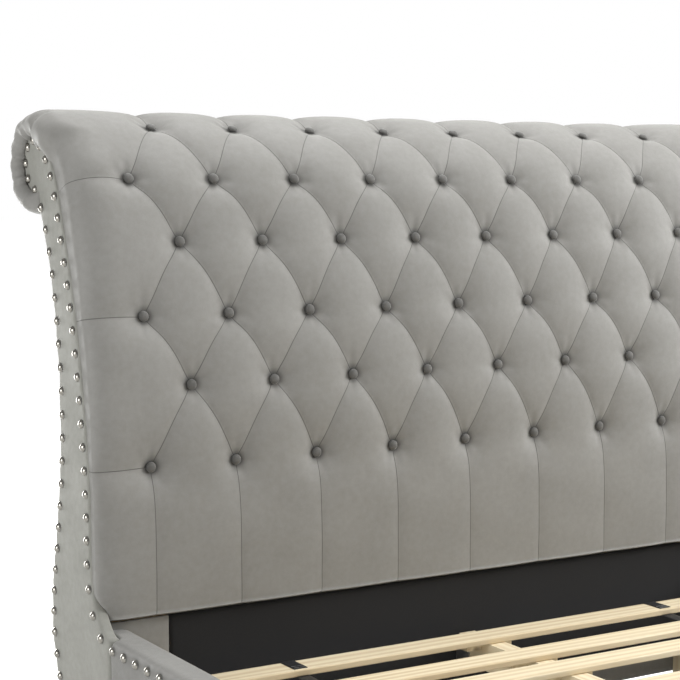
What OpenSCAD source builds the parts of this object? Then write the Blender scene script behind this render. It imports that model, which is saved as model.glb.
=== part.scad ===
// Upholstered sleigh bed with a buttoned headboard, nail trim, padded rails and a slat deck.
// X runs across the bed, Y towards the headboard, Z up. The origin is on the floor,
// under the middle of the whole bed.

/* [Mattress] */
// Width of the mattress
mattress_w = 1524; // [960:4:2000]
// Length of the mattress
mattress_l = 2032; // [1700:4:2440]
// Gap beside the mattress, each side
side_gap = 25; // [5:1:40]
// Gap at each end of the mattress
end_gap = 14; // [5:1:40]

/* [Heights] */
// Top of the headboard roll
head_h = 1395; // [1150:5:1700]
// Top of the footboard roll
foot_h = 740; // [610:5:900]
// Top of the side rails
rail_top = 402; // [380:1:430]
// Height of the side rails
rail_h = 250; // [200:5:300]
// Top of the slats
slat_top = 300; // [280:1:320]
// Height of the turned feet
feet_h = 55; // [30:1:80]

/* [Headboard] */
// Radius of the padded roll
head_roll_r = 108; // [95:1:125]
// How far the roll's centre stands behind the upright face
head_roll_back = 262; // [240:1:300]
// How far the tufted face leans back by the height of the roll's centre
head_lean = 100; // [80:1:130]
// Depth of the padding in front of the button line
head_crown = 25; // [15:1:35]
// Height of the upright face above the rails
upright_rise = 273; // [240:1:300]

/* [Footboard] */
// Radius of the padded roll
foot_roll_r = 80; // [70:1:90]
// How far the roll's centre stands behind the inner face
foot_roll_back = 130; // [120:1:150]
// Depth of the padding outside the button line
foot_crown = 22; // [15:1:30]

/* [Tufting] */
// Distance between buttons in a row
tuft_w = 184; // [150:1:210]
// Diameter of a covered button
button_d = 22; // [18:1:30]
// Least distance from the outermost button to the side of the bed
tuft_margin = 110; // [100:1:120]

/* [Side facings and nails] */
// Thickness of the padded side facings and of the rails' outer padding
facing_t = 25; // [18:1:30]
// Diameter of a nail head
nail_d = 18; // [9:0.5:24]
// Distance between nails on the facings
nail_pitch = 45; // [35:1:60]
// Distance between nails on the rails
rail_nail_pitch = 51; // [35:1:60]
// Distance from the edge to the middle of the nail row
nail_inset = 15; // [13:0.5:20]

/* [Rails] */
// Full thickness of a padded rail
rail_t = 73; // [65:1:85]
// Padding on top of the rail
rail_top_pad = 15; // [8:1:20]
// Padding on the inner face of the rail
rail_in_pad = 10; // [5:1:12]
// Width and height of the slat cleats
cleat_w = 30; // [25:1:34]

/* [Slats and centre support] */
// Width of a slat
slat_w = 66; // [50:1:80]
// Thickness of a slat
slat_t = 13; // [10:1:20]
// Distance from one slat to the next
slat_pitch = 150; // [120:1:190]
// Distance from the upright face to the first slat
slat_start = 60; // [50:1:90]
// Width of the centre beam
beam_w = 40; // [34:1:60]
// Height of the centre beam
beam_h = 60; // [40:1:70]
// Side of a locating block under a slat
block_w = 37; // [25:1:45]
// Side of a square support leg
leg_w = 44; // [38:1:60]
// Diameter of a levelling glide
glide_d = 40; // [30:1:50]
// Diameter of the glides' threaded stems
stem_d = 8; // [6:1:10]

/* [Hidden] */
$fn = 48;

velvet = [0.57, 0.56, 0.54];
facing_grey = [0.62, 0.62, 0.59];
pine = [0.90, 0.84, 0.70];
plywood = [0.76, 0.65, 0.48];
nickel = [0.80, 0.80, 0.78];
steel = [0.55, 0.56, 0.58];
black_cloth = [0.11, 0.11, 0.11];
dark_wood = [0.16, 0.12, 0.10];

// Clearance between pieces that lie side by side
gap = 0.3;
// Thickness of board behind the padding, of the plywood side frames and of the bars
board_t = 8;
frame_t = 27;
bar_t = 40;
// How far the padding's back lies behind the button line
pad_back = 8;
// Thickness of the plain covers, of the leg wraps and of the dust cloth
cover_t = 8;
wrap_t = 5.6;
cloth_t = 3;
// Front face of the leg wraps and the boards' inner faces, in front of the button line
face_u = 10;
// Where the facings pass in front of the upright face, to meet the rails
facing_reach = 80;
// Width of an upholstered leg, from the outside of the bed
leg_wrap_w = 156;
// Radius of each facing's scroll and thickness of the rolls' cores
head_scroll_r = 61;
foot_scroll_r = 45;
core_r = 74;
foot_core_r = 50;
core_wall = 8;
// Top of the front board, as a share of the headboard's curve
board_top = 0.92;
// How far the footboard's buttons and the back of its outer padding stand inside the
// facings' outer edges
foot_button_in = 4;
foot_pad_in = 18;
// Steel sheet, bolts and screws
sheet = 4;
bolt_d = 8;
bolt_gap = 0.3;
screw_d = 4.5;
web_w = 30;
web_t = 1.2;

bed_w = mattress_w + 2 * side_gap + 2 * rail_t;
side_x = bed_w / 2;
inner_x = side_x - facing_t;
frame_x = inner_x - gap - frame_t;
rail_in_x = side_x - rail_t;
rail_core_x = rail_in_x + rail_in_pad;
wrap_x = side_x - leg_wrap_w;

head_roll_z = head_h - head_roll_r;
foot_roll_z = foot_h - foot_roll_r;
bend_z = rail_top + upright_rise;
head_c = [head_roll_back, head_roll_z];
foot_c = [foot_roll_back, foot_roll_z];
pad_low = rail_top + 13;

// Distance between the two upright faces, and where each stands along Y
inside_l = mattress_l + 2 * end_gap;
face_to_face = inside_l + head_crown + 3 + face_u;
head_back_u = head_roll_back + head_roll_r - 4;
foot_back_u = foot_roll_back + foot_roll_r;
bed_l = face_to_face + head_back_u + foot_back_u;
head_y = bed_l / 2 - head_back_u;
foot_y = head_y - face_to_face;

slat_bottom = slat_top - slat_t;
beam_low = slat_bottom - beam_h;

// Buttons: the rows' heights as shares of the way from the bend to the roll's centre
row_share = [0.05, 0.30, 0.52, 0.75, 0.95];
tuft_half = floor((side_x - tuft_margin) / tuft_w);
// Slats moved a little from their even places, from the headboard down
slat_shift = [0, 7, -31];
slat_n = 1 + floor((face_to_face - slat_start - slat_w - 2 * face_u) / slat_pitch);

// ---- Curves ----

// A smooth run through points p, with n steps between neighbours
function bend(p, i, t) =
  let (a = p[max(i - 1, 0)], b = p[i], c = p[i + 1], d = p[min(i + 2, len(p) - 1)])
  0.5 * (2 * b + (c - a) * t + (2 * a - 5 * b + 4 * c - d) * t * t
    + (3 * b - a - 3 * c + d) * t * t * t);
function smooth(p, n = 4) =
  [for (i = [0:len(p) - 2]) for (k = [0:n - 1]) bend(p, i, k / n), p[len(p) - 1]];
function arc(c, r, from, to, n = 12) =
  [for (k = [0:n]) let (a = from + (to - from) * k / n) c + r * [cos(a), sin(a)]];

// Heights as shares: of the headboard's curve, and of the parts above and below the rails
function head_z(f) = bend_z + f * (head_roll_z - bend_z);
function upper_z(f) = rail_top + f * (bend_z - rail_top);
function foot_z(f) = rail_top + f * (foot_roll_z - rail_top);
function under_roll_z(f) = rail_top + f * (foot_roll_z - 0.87 * foot_roll_r - rail_top);
function lower_z(f) = feet_h + f * (rail_top - feet_h);

// How far the button line leans back at share f of the headboard's curve
function lean(f) = head_lean * f * f;
function lean_tilt(f) = atan(2 * head_lean * f / (head_roll_z - bend_z));
// The button line, moved back by u, between shares f1 and f2
function lean_run(u, f1, f2) =
  [for (k = [0:8]) let (f = f1 + (f2 - f1) * k / 8) [lean(f) + u, head_z(f)]];

// Lower back edges of the side facings, from the rails' height down to the feet
head_low_back = [[204, lower_z(0.87)], [190, lower_z(0.71)], [176, lower_z(0.60)],
  [163, lower_z(0.46)], [154, lower_z(0.30)], [150, lower_z(0.13)], [152, feet_h]];
foot_low_back = [[125, lower_z(0.87)], [120, lower_z(0.71)], [112, lower_z(0.60)],
  [103, lower_z(0.44)], [97, lower_z(0.27)], [95, lower_z(0.12)], [96, feet_h]];
head_high_back = [[234, head_z(0.83)], [205, head_z(0.72)], [182, head_z(0.60)],
  [167, head_z(0.47)], [154, head_z(0.34)], [149, head_z(0.20)], [153, head_z(0.05)],
  [161, upper_z(0.90)], [174, upper_z(0.67)], [187, upper_z(0.45)], [200, upper_z(0.22)],
  [207, upper_z(0.02)]];
foot_high_back = [[118, under_roll_z(1)], [106, under_roll_z(0.75)], [104, under_roll_z(0.52)],
  [110, under_roll_z(0.26)], [120, under_roll_z(0.04)]];
head_back = smooth(concat(head_high_back, head_low_back));
foot_back = smooth(concat(foot_high_back, foot_low_back));

// Front edges of the side facings, from the rail up to the scroll
rail_sweep = [[-facing_reach, rail_top], [-58, rail_top + 2]];
head_front = smooth(concat(rail_sweep,
  [[-30, upper_z(0.09)], [-11, upper_z(0.19)], [0, upper_z(0.32)], [5, upper_z(0.52)],
   [5, upper_z(0.80)], [12, head_z(0.05)], [33, head_z(0.28)], [65, head_z(0.52)],
   [108, head_z(0.74)], [148, head_z(0.92)], [180, head_z(1.01)],
   head_c + [-44, 42]]));
foot_front = smooth(concat(rail_sweep,
  [[-30, foot_z(0.09)], [-11, foot_z(0.20)], [0, foot_z(0.34)], [6, foot_z(0.50)],
   [18, foot_z(0.68)], [42, foot_z(0.86)], [70, foot_z(1.0)], foot_c + [-36, 28]]));
head_edge = concat(head_front, arc(head_c, head_scroll_r, 110, -80), head_back);
foot_edge = concat(foot_front, arc(foot_c, foot_scroll_r, 115, -75), foot_back);

// ---- Placing ----

// A board is drawn with +Y pointing away from the mattress, from its upright face
module at_head() translate([0, head_y, 0]) children();
module at_foot() translate([0, foot_y, 0]) mirror([0, 1, 0]) children();
// side is -1 for the left of the bed and 1 for the right
module on_side(side) mirror([side < 0 ? 1 : 0, 0, 0]) children();
// Extrudes a drawing of [depth, height] across the bed, from x1 to x2
module across(x1, x2) translate([x1, 0, 0]) rotate([90, 0, 90]) linear_extrude(x2 - x1) children();
// Puts a piece on a board's surface, its own +Z pointing out of the surface
module on_front(x, p, tilt) translate([x, p[0], p[1]]) rotate([90 - tilt, 0, 0]) children();
module on_back(x, p, tilt) translate([x, p[0], p[1]]) rotate([tilt - 90, 0, 0]) children();

// ---- Headboard ----

// Outer face of the headboard's padding, from its lower edge over the roll to the underside
head_crown_line = smooth(concat(
  [[-head_crown - 3, pad_low], [-head_crown - 3, upper_z(0.55)]],
  [for (f = [0, 0.25, 0.5, 0.75, 0.96]) [lean(f) - head_crown, head_z(f)]],
  [for (p = [[-147, 43], [-91, 88], [-7, 108], [63, 83], [99, 13], [83, -62], [20, -101],
    [-22, -101]]) head_c + p * head_roll_r / 108]));
// Back of the padding, round the core and down behind the front board
head_pad_inside = concat(arc(head_c, core_r + gap, -105, 135, 30),
  [[lean(0.97) + 30, head_z(1.01)]], lean_run(pad_back, board_top, 0), [[pad_back, pad_low]]);

module button_pocket() cylinder(h = 90, d = button_d + 2);
module head_button_places() {
  for (r = [0:len(row_share) - 1], k = [-tuft_half:tuft_half + (r % 2 == 0 ? 0 : -1)])
    on_front((k + (r % 2) / 2) * tuft_w, [lean(row_share[r]), head_z(row_share[r])],
      lean_tilt(row_share[r])) children();
  for (k = [-tuft_half:tuft_half - 1])
    on_front((k + 0.5) * tuft_w, head_c + [-78, 70] * head_roll_r / 108, 42) children();
}
module button() rotate_extrude() {
  square([button_d / 2, 4]);
  intersection() {
    translate([0, -14]) circle(r = 23, $fn = 64);
    translate([0, 4]) square([button_d / 2, 8]);
  }
}
module head_pad() color(velvet) at_head() difference() {
  across(-inner_x + gap, inner_x - gap) polygon(concat(head_crown_line, head_pad_inside));
  head_button_places() button_pocket();
}
module head_buttons() color(velvet) at_head() head_button_places() button();

module roll_core(c, r) across(-frame_x + gap, frame_x - gap) translate(c) difference() {
  circle(r = r - 2 * gap);
  circle(r = r - core_wall);
}
module head_roll_core() color(plywood) at_head() roll_core(head_c, core_r);
module head_front_board() color(plywood) at_head()
  across(-inner_x + gap, inner_x - gap)
    polygon(concat([[pad_back + gap, pad_low]], lean_run(pad_back + gap, 0, board_top),
      lean_run(pad_back + board_t, board_top, 0), [[pad_back + board_t, pad_low]]));

// Plywood end of the headboard, inside the padding, board and covers
module head_side_frame(side) on_side(side) at_head() across(frame_x, inner_x - gap)
  polygon(concat(
    [[-face_u + wrap_t + gap, feet_h], [-face_u + wrap_t + gap, pad_low - gap],
     [pad_back + board_t + gap, pad_low - gap]],
    lean_run(pad_back + board_t + gap, 0, board_top), arc(head_c, core_r - 1, 145, -115, 24),
    [for (p = head_back) p - [cover_t + 2 + gap, 0]]));
module head_side_frame_l() color(plywood) head_side_frame(-1);
module head_side_frame_r() color(plywood) head_side_frame(1);

// A timber bar between the side frames, with its front at depth u and its middle at height z
module bar(u, z, h) translate([-frame_x + gap, u, z - h / 2])
  cube([2 * (frame_x - gap), bar_t, h]);
module head_top_bar() color(pine) at_head() bar(lean(0.75) + 40, head_z(0.76), 60);
module head_mid_bar() color(pine) at_head() bar(40, head_z(0.18), 60);
module head_edge_bar() color(pine) at_head()
  bar(pad_back + board_t + gap, pad_low + 45, 70);
module base_bar() translate([-wrap_x + gap, -face_u + cloth_t + gap, beam_low - 20])
  cube([2 * (wrap_x - gap), bar_t, beam_h + 40]);
module head_base_bar() color(pine) at_head() base_bar();

// Timber legs that the rails bolt to and the feet screw under
module posts(front, depth) for (side = [-1, 1]) on_side(side) difference() {
  translate([wrap_x + gap, -face_u + front + gap, feet_h])
    cube([frame_x - wrap_x - 2 * gap, depth, pad_low - feet_h - 2 * gap]);
  bolt_holes();
}
module head_posts() color(pine) at_head() posts(wrap_t, 115);
module foot_posts() color(pine) at_foot() posts(cover_t, 70);

// Grey cloth over the legs' inner corners, below the tufted padding
module leg_wrap(side) on_side(side) difference() {
  translate([wrap_x, -face_u, feet_h])
    cube([inner_x - gap - wrap_x, wrap_t, pad_low - gap - feet_h]);
  bolt_holes();
}
module head_leg_wrap_l() color(velvet) at_head() leg_wrap(-1);
module head_leg_wrap_r() color(velvet) at_head() leg_wrap(1);
module head_dust_cloth() color(black_cloth) at_head()
  translate([-wrap_x + gap, -face_u, rail_top - rail_h])
    cube([2 * (wrap_x - gap), cloth_t, pad_low - gap - rail_top + rail_h]);

module head_back_cover() color(velvet) at_head() across(-inner_x + gap, inner_x - gap)
  polygon(concat([for (p = head_back) p - [2, 0]],
    [for (i = [len(head_back) - 1:-1:0]) head_back[i] - [cover_t + 2, 0]]));

// Padded side panels, which sweep forward to the rails
module facing(edge) across(inner_x, side_x)
  polygon(concat([[-facing_reach, feet_h]], edge));
module head_facing_l() color(facing_grey) on_side(-1) at_head() facing(head_edge);
module head_facing_r() color(facing_grey) at_head() facing(head_edge);

// Pleated ring of cloth that closes the end of a roll round its scroll
module roll_end(c, in_r, out_r, edge) {
  mid_r = (in_r + out_r) / 2;
  round_r = (out_r - in_r) / 2;
  difference() {
    translate([inner_x, c[0], c[1]]) rotate([90, 0, 90])
      rotate([0, 0, -100]) rotate_extrude(angle = 265) {
        translate([in_r, gap]) square([out_r - in_r, facing_t - gap]);
        translate([mid_r, facing_t]) circle(r = round_r);
      }
    across(inner_x - 1, side_x + round_r + 1)
      polygon(concat([[-facing_reach, feet_h]], edge));
  }
}
module head_roll_end_l() color(velvet) on_side(-1) at_head()
  roll_end(head_c, head_scroll_r + gap, head_roll_r - 4, head_edge);
module head_roll_end_r() color(velvet) at_head()
  roll_end(head_c, head_scroll_r + gap, head_roll_r - 4, head_edge);

// ---- Nails ----

// Lengths along a line of points, and the point and direction at a length
function lengths(p) =
  [for (i = 0, s = 0; i < len(p); i = i + 1, s = s + (i < len(p) ? norm(p[i] - p[i - 1]) : 0)) s];
function at_length(p, s, l) =
  [lookup(l, [for (i = [0:len(p) - 1]) [s[i], p[i][0]]]),
   lookup(l, [for (i = [0:len(p) - 1]) [s[i], p[i][1]]])];
module nail() rotate_extrude() intersection() {
  translate([0, -nail_d * 0.19]) circle(r = nail_d * 0.535, $fn = 48);
  square([nail_d / 2, nail_d]);
}
module nail_row(edge) {
  s = lengths(edge);
  last = s[len(s) - 1];
  for (l = [nail_pitch * 0.7:nail_pitch:last - 12]) {
    p = at_length(edge, s, l);
    d = at_length(edge, s, min(l + 6, last)) - at_length(edge, s, max(l - 6, 0));
    n = [d[1], -d[0]] / norm(d);
    q = p + n * nail_inset;
    translate([side_x, q[0], q[1]]) rotate([0, 90, 0]) nail();
  }
}
module head_nails() color(nickel) for (side = [-1, 1])
  on_side(side) at_head() nail_row(head_edge);
module foot_nails() color(nickel) for (side = [-1, 1])
  on_side(side) at_foot() nail_row(foot_edge);

// ---- Footboard ----

// Outline of the roll and plain inner face, from the bottom of the inner face upwards
foot_roll_line = smooth(concat(
  [[-face_u, rail_top - rail_h], [-face_u, lower_z(0.7)], [-face_u, rail_top],
   [-face_u, foot_z(0.45)], [0, foot_z(0.69)], [28, foot_z(0.94)]],
  [for (p = [[-58, 55], [0, 80], [57, 57], [80, 0], [57, -57], [18, -78]])
    foot_c + p * foot_roll_r / 80]));
foot_roll_inside = concat(arc(foot_c, foot_core_r + gap, -80, 150, 30),
  [[28, foot_z(0.69)], [-face_u + cover_t + 12, foot_z(0.45)], [-face_u + cover_t, pad_low],
   [-face_u + cover_t, rail_top - rail_h]]);
module foot_roll_pad() color(velvet) at_foot() difference() {
  across(-inner_x + gap, inner_x - gap) polygon(concat(foot_roll_line, foot_roll_inside));
  for (side = [-1, 1]) on_side(side) bolt_holes();
}

// Tufted outer face of the footboard, under the roll
foot_panel = [for (p = foot_back) if (p[1] > feet_h + 8) p];
foot_row_z = [lower_z(0.52), lower_z(0.93), foot_z(0.30)];
foot_back_at = [for (i = [len(foot_back) - 1:-1:0]) [foot_back[i][1], foot_back[i][0]]];
function foot_slope(z) = atan((lookup(z - 9, foot_back_at) - lookup(z + 9, foot_back_at)) / 18);
module foot_button_places()
  for (r = [0:len(foot_row_z) - 1], k = [-tuft_half:tuft_half + (r % 2 == 0 ? 0 : -1)])
    on_back((k + (r % 2) / 2) * tuft_w,
      [lookup(foot_row_z[r], foot_back_at) - foot_button_in, foot_row_z[r]],
      foot_slope(foot_row_z[r])) children();
module foot_outer_pad() color(velvet) at_foot() difference() {
  across(-inner_x + gap, inner_x - gap) polygon(concat(
    [for (p = foot_panel) p + [foot_crown - foot_button_in, 0]],
    [for (i = [len(foot_panel) - 1:-1:0]) foot_panel[i] - [foot_pad_in, 0]]));
  foot_button_places() button_pocket();
}
module foot_buttons() color(velvet) at_foot() foot_button_places() button();
module foot_roll_core() color(plywood) at_foot() roll_core(foot_c, foot_core_r);
module foot_side_frame(side) on_side(side) at_foot() across(frame_x, inner_x - gap)
  polygon(concat(
    [[-face_u + cover_t + gap, feet_h], [-face_u + cover_t + gap, pad_low],
     [12 + gap, foot_z(0.45)], [34, foot_z(0.69)]],
    arc(foot_c, foot_core_r - 1, 150, -110, 24),
    [for (p = foot_back) p - [foot_pad_in + gap, 0]]));
module foot_side_frame_l() color(plywood) foot_side_frame(-1);
module foot_side_frame_r() color(plywood) foot_side_frame(1);
module foot_top_bar() color(pine) at_foot() bar(36, foot_z(0.42), 50);
module foot_base_bar() color(pine) at_foot()
  translate([-wrap_x + gap, -face_u + cover_t + gap, beam_low - 20])
    cube([2 * (wrap_x - gap), bar_t, beam_h + 40]);
module foot_facing_l() color(facing_grey) on_side(-1) at_foot() facing(foot_edge);
module foot_facing_r() color(facing_grey) at_foot() facing(foot_edge);
module foot_roll_end_l() color(velvet) on_side(-1) at_foot()
  roll_end(foot_c, foot_scroll_r + gap, foot_roll_r - 4, foot_edge);
module foot_roll_end_r() color(velvet) at_foot()
  roll_end(foot_c, foot_scroll_r + gap, foot_roll_r - 4, foot_edge);

// ---- Rails ----

rail_y1 = foot_y + facing_reach + gap;
rail_y2 = head_y - facing_reach - gap;
rail_end1 = foot_y + face_u + gap;
rail_end2 = head_y - face_u - gap;
rail_low = rail_top - rail_h;
module along(y1, y2) translate([0, y2, 0]) rotate([90, 0, 0]) linear_extrude(y2 - y1) children();
module rail_core(side) on_side(side) along(rail_end1, rail_end2)
  translate([rail_core_x, rail_low]) square([inner_x - rail_core_x, rail_h - rail_top_pad - gap]);
module rail_core_l() color(plywood) rail_core(-1);
module rail_core_r() color(plywood) rail_core(1);

// Padding over the rail's top, outside and upper inside, with rounded upper edges
module rail_section() difference() {
  r = rail_top_pad;
  union() {
    for (x = [rail_in_x + r, side_x - r]) translate([x, rail_top - r]) circle(r = r);
    translate([rail_in_x + r, rail_top - r]) square([rail_t - 2 * r, r]);
    translate([rail_in_x, slat_top + 3]) square([rail_in_pad + r, rail_top - r - slat_top - 3]);
    translate([inner_x, rail_low]) square([facing_t, rail_h - r]);
  }
  translate([rail_core_x - gap, rail_low - 1])
    square([inner_x - rail_core_x + 2 * gap, rail_h - r + 1]);
}
// Beyond the facings only the inner part runs on, as far as the leg wraps
module rail_pad(side) on_side(side) {
  along(rail_y1, rail_y2) rail_section();
  along(rail_end1, rail_end2) intersection() {
    rail_section();
    translate([rail_in_x - 1, rail_low]) square([inner_x - gap - rail_in_x + 1, rail_h]);
  }
}
module rail_pad_l() color(velvet) rail_pad(-1);
module rail_pad_r() color(velvet) rail_pad(1);
// The rails' row sits just under the rounded top edge
rail_nail_z = rail_top - rail_top_pad - nail_d / 6;
module rail_nails() color(nickel)
  for (side = [-1, 1], y = [rail_y2 - nail_inset:-rail_nail_pitch:rail_y1 + nail_inset])
    on_side(side) translate([side_x, y, rail_nail_z]) rotate([0, 90, 0]) nail();

// Ledges that carry the slats' ends, between the corner brackets
bracket_l = 50;
bracket_low = rail_low + 10;
bracket_h = slat_bottom - 4 - bracket_low;
cleat_y1 = rail_end1 + bracket_l + 4;
cleat_y2 = rail_end2 - bracket_l - 4;
cleat_n = 9;
function cleat_y(i) = cleat_y1 + 60 + i * (cleat_y2 - cleat_y1 - 120) / (cleat_n - 1);
module rail_cleat(side) on_side(side) difference() {
  translate([rail_core_x - cleat_w, cleat_y1, slat_bottom - cleat_w])
    cube([cleat_w - gap / 2, cleat_y2 - cleat_y1, cleat_w]);
  for (i = [0:cleat_n - 1]) translate([rail_core_x - cleat_w - 1, cleat_y(i),
    slat_bottom - cleat_w / 2]) rotate([0, 90, 0]) cylinder(h = cleat_w + 2, d = screw_d + 0.5);
}
module rail_cleat_l() color(pine) rail_cleat(-1);
module rail_cleat_r() color(pine) rail_cleat(1);
module cleat_screws() color(steel) for (side = [-1, 1], i = [0:cleat_n - 1])
  on_side(side) translate([rail_core_x - cleat_w, cleat_y(i), slat_bottom - cleat_w / 2])
    rotate([0, 90, 0]) {
      translate([0, 0, -2.4]) cylinder(h = 2.4, d1 = 6, d2 = 9.5);
      translate([0, 0, -0.1]) cylinder(h = cleat_w - gap, d = screw_d);
    }

// ---- Corner fittings ----

bolt_x = rail_core_x - 30;
bracket_top = bracket_low + bracket_h;
// Two bolts at each corner, running into the leg; +Z points away from the mattress
module bolt_places() for (z = [bracket_low + 22, bracket_top - 22])
  translate([bolt_x, -face_u, z]) rotate([-90, 0, 0]) children();
module bolt_holes() bolt_places() translate([0, 0, -20])
  cylinder(h = 80, d = bolt_d + 2 * bolt_gap);
module bracket() difference() {
  union() {
    translate([rail_core_x - 56, -face_u - sheet, bracket_low])
      cube([56 - gap, sheet, bracket_h]);
    translate([rail_core_x - sheet - gap, -face_u - bracket_l, bracket_low])
      cube([sheet, bracket_l, bracket_h]);
  }
  bolt_holes();
}
module bolt() {
  translate([0, 0, -sheet - 5.4]) cylinder(h = 5.4, d = 14.4, $fn = 6);
  translate([0, 0, -sheet - 0.1]) cylinder(h = 48, d = bolt_d);
}
module at_corners() for (side = [-1, 1]) on_side(side) {
  at_head() children();
  at_foot() children();
}
module corner_brackets() color(steel) at_corners() bracket();
module corner_bolts() color(steel) at_corners() bolt_places() bolt();

module turned_foot(top_r) rotate_extrude() polygon(concat([[0, 0], [top_r * 0.62, 0]],
  smooth([[top_r * 0.68, 3], [top_r * 0.86, feet_h * 0.3], [top_r, feet_h * 0.58],
    [top_r * 0.90, feet_h * 0.80], [top_r * 0.78, feet_h * 0.86]], 3),
  [[top_r * 0.92, feet_h * 0.92], [top_r * 0.92, feet_h - gap], [0, feet_h - gap]]));
foot_x = (wrap_x + frame_x) / 2;
module turned_feet() color(dark_wood) for (side = [-1, 1]) on_side(side) {
  at_head() translate([foot_x, 52, 0]) turned_foot(40);
  at_foot() translate([foot_x, 32, 0]) turned_foot(33);
}

// ---- Slats ----

function shift_of(i) = i < len(slat_shift) ? slat_shift[i] : 0;
// Middle of slat i, counted from the headboard
function slat_y(i) = head_y - slat_start - slat_w / 2 - i * slat_pitch - shift_of(i);
slat_x = rail_core_x - 4;
slat_round = 3;
module slat_shape() for (s = [-1, 1]) {
  translate([-slat_w / 2 + slat_round, -slat_t / 2 + s * (slat_t / 2 - slat_round)])
    circle(r = slat_round, $fn = 16);
  translate([slat_w / 2 - slat_round, -slat_t / 2 + s * (slat_t / 2 - slat_round)])
    circle(r = slat_round, $fn = 16);
  translate([-slat_w / 2 + slat_round, -slat_t]) square([slat_w - 2 * slat_round, slat_t]);
  translate([-slat_w / 2, -slat_t + slat_round]) square([slat_w, slat_t - 2 * slat_round]);
}
module slats() color(pine) for (i = [0:slat_n - 1])
  translate([0, slat_y(i), slat_top]) across(-slat_x, slat_x) slat_shape();
// Blocks under each slat that keep it from sliding off the centre beam
module slat_blocks() color(pine) for (i = [0:slat_n - 1], side = [-1, 1])
  on_side(side) translate([beam_w / 2 + 0.5, slat_y(i) + slat_w / 2 - block_w, slat_bottom - 17])
    cube([block_w, block_w, 17 - gap]);

// Webbing that ties the slats together, with its end turned up over the first slat
strap_x = side_x - 389;
strap_y2 = slat_y(0) + slat_w / 2 + web_t + gap;
strap_y1 = slat_y(slat_n - 1) - slat_w / 2 - web_t - gap;
module strap(side) on_side(side) translate([strap_x - web_w / 2, 0, 0]) {
  translate([0, strap_y1, slat_bottom - gap - web_t]) cube([web_w, strap_y2 - strap_y1, web_t]);
  translate([0, strap_y2 - web_t, slat_bottom - gap - web_t])
    cube([web_w, web_t, slat_t + 2 * gap + 2 * web_t]);
  translate([0, slat_y(0) - slat_w / 2 + 8, slat_top + gap])
    cube([web_w, strap_y2 - slat_y(0) + slat_w / 2 - 8, web_t]);
  translate([0, strap_y1, slat_bottom - gap - web_t])
    cube([web_w, web_t, slat_t + 2 * gap + 2 * web_t]);
  translate([0, strap_y1, slat_top + gap]) cube([web_w, slat_w - 8, web_t]);
}
module strap_l() color(black_cloth) strap(-1);
module strap_r() color(black_cloth) strap(1);
module staple() translate([0, 0, slat_top + gap + web_t]) cube([11, 1.2, 0.9]);
module strap_staples() color(steel) for (side = [-1, 1]) on_side(side)
  for (y = [slat_y(0) - slat_w / 2 + 13, slat_y(0) - slat_w / 2 + 24,
    slat_y(slat_n - 1) + slat_w / 2 - 18])
    for (dx = [-12, 1]) translate([strap_x + dx, y, 0]) staple();

// ---- Centre support ----

module centre_beam() color(pine)
  translate([-beam_w / 2, foot_y + face_u + sheet + gap, beam_low])
    cube([beam_w, face_to_face - 2 * (face_u + sheet + gap), beam_h - gap]);
// Steel cradles on the two boards that hold the beam's ends
module cradle() {
  r = beam_w / 2 + gap;
  translate([-r - sheet, -face_u - sheet, beam_low - sheet - gap])
    cube([2 * (r + sheet), sheet, beam_h - 12]);
  translate([-r - sheet, -face_u - 46, beam_low - sheet - gap])
    cube([2 * (r + sheet), 46, sheet]);
  for (x = [-r - sheet, r])
    translate([x, -face_u - 46, beam_low - sheet - gap]) cube([sheet, 46, beam_h - 26]);
}
module beam_brackets() color(steel) {
  at_head() cradle();
  at_foot() cradle();
}
leg_low = 28;
nut_h = 11;
stem_gap = 0.3;
function leg_y(i) = foot_y + face_to_face * i / 4;
module support_leg(i) translate([0, leg_y(i), 0]) difference() {
  translate([-leg_w / 2, -leg_w / 2, leg_low])
    cube([leg_w, leg_w, beam_low - leg_low - gap]);
  translate([0, 0, leg_low - 1]) cylinder(h = nut_h + 1.5, d = stem_d + 4);
  translate([0, 0, leg_low - 1]) cylinder(h = 75, d = stem_d + 2);
}
module support_leg_1() color(pine) support_leg(1);
module support_leg_2() color(pine) support_leg(2);
module support_leg_3() color(pine) support_leg(3);
// Threaded inserts in the legs' feet
module leg_tee_nuts() color(steel) for (i = [1:3]) translate([0, leg_y(i), leg_low])
  difference() {
    union() {
      translate([0, 0, -1.6]) cylinder(h = 1.6 - gap / 2, d = stem_d + 13);
      translate([0, 0, -0.5]) cylinder(h = nut_h, d = stem_d + 3.6);
    }
    translate([0, 0, -3]) cylinder(h = nut_h + 6, d = stem_d + 2 * stem_gap);
  }
module leg_glide(i) translate([0, leg_y(i), 0]) rotate_extrude()
  polygon([[0, 0], [glide_d / 2 - 2, 0], [glide_d / 2, 2], [glide_d / 2, 6],
    [stem_d / 2 + 3, 9], [stem_d / 2 + 3, 12], [stem_d / 2, 12], [stem_d / 2, 74], [0, 74]]);
module leg_glide_1() color(black_cloth) leg_glide(1);
module leg_glide_2() color(black_cloth) leg_glide(2);
module leg_glide_3() color(black_cloth) leg_glide(3);

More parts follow.
